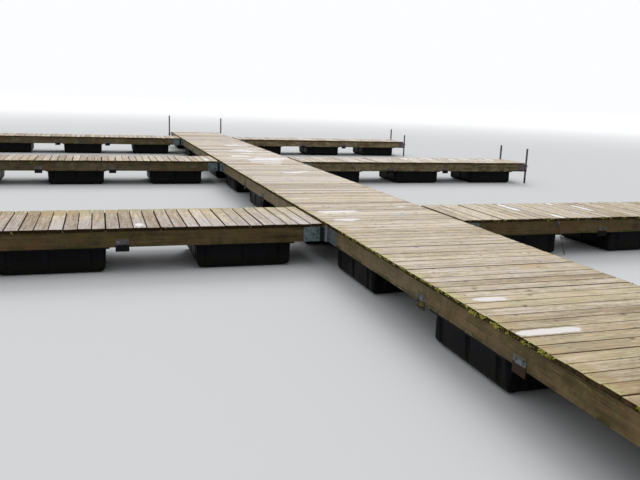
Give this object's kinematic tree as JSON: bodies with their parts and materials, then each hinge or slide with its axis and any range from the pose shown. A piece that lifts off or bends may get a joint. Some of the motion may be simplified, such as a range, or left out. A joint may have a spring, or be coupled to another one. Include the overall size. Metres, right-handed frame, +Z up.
{
  "type": "floating wooden jetty with finger piers",
  "caption": "Floating timber jetty: a plank walkway in bolted bays with finger piers along both sides, on black plastic floats, held by steel poles.",
  "frame": {"origin": "centre of the walkway's length and width, at the undersides of the floats", "axes": "+Y along the walkway away from the shore, +X across it to the right-hand fingers, +Z up"},
  "size_m": [14.3344, 26.068, 1.133],
  "materials": {
    "deck_boards": "matte",
    "frame_timber": "matte",
    "float_plastic": "matte",
    "galvanised_steel": "satin",
    "pole_steel": "satin"
  },
  "bodies": {
    "root": {"walkway_deck_1": "deck_boards", "walkway_deck_2": "deck_boards", "walkway_deck_3": "deck_boards", "walkway_deck_4": "deck_boards", "walkway_frame_1": "frame_timber", "walkway_frame_2": "frame_timber", "walkway_frame_3": "frame_timber", "walkway_frame_4": "frame_timber", "walkway_floats_1": "float_plastic", "walkway_floats_2": "float_plastic", "walkway_floats_3": "float_plastic", "walkway_floats_4": "float_plastic", "finger_deck_left_1": "deck_boards", "finger_deck_left_2": "deck_boards", "finger_deck_left_3": "deck_boards", "finger_deck_right_1": "deck_boards", "finger_deck_right_2": "deck_boards", "finger_deck_right_3": "deck_boards", "finger_frame_left_1": "frame_timber", "finger_frame_left_2": "frame_timber", "finger_frame_left_3": "frame_timber", "finger_frame_right_1": "frame_timber", "finger_frame_right_2": "frame_timber", "finger_frame_right_3": "frame_timber", "finger_floats_left_1": "float_plastic", "finger_floats_left_2": "float_plastic", "finger_floats_left_3": "float_plastic", "finger_floats_right_1": "float_plastic", "finger_floats_right_2": "float_plastic", "finger_floats_right_3": "float_plastic", "finger_brackets_left_1": "galvanised_steel", "finger_brackets_left_2": "galvanised_steel", "finger_brackets_left_3": "galvanised_steel", "finger_brackets_right_1": "galvanised_steel", "finger_brackets_right_2": "galvanised_steel", "finger_brackets_right_3": "galvanised_steel", "finger_poles_left_1": "pole_steel", "finger_poles_left_2": "pole_steel", "finger_poles_left_3": "pole_steel", "finger_poles_right_1": "pole_steel", "finger_poles_right_2": "pole_steel", "finger_poles_right_3": "pole_steel", "walkway_brackets": "galvanised_steel", "walkway_end_poles": "pole_steel", "mooring_chain": "galvanised_steel"}
  },
  "joints": []
}
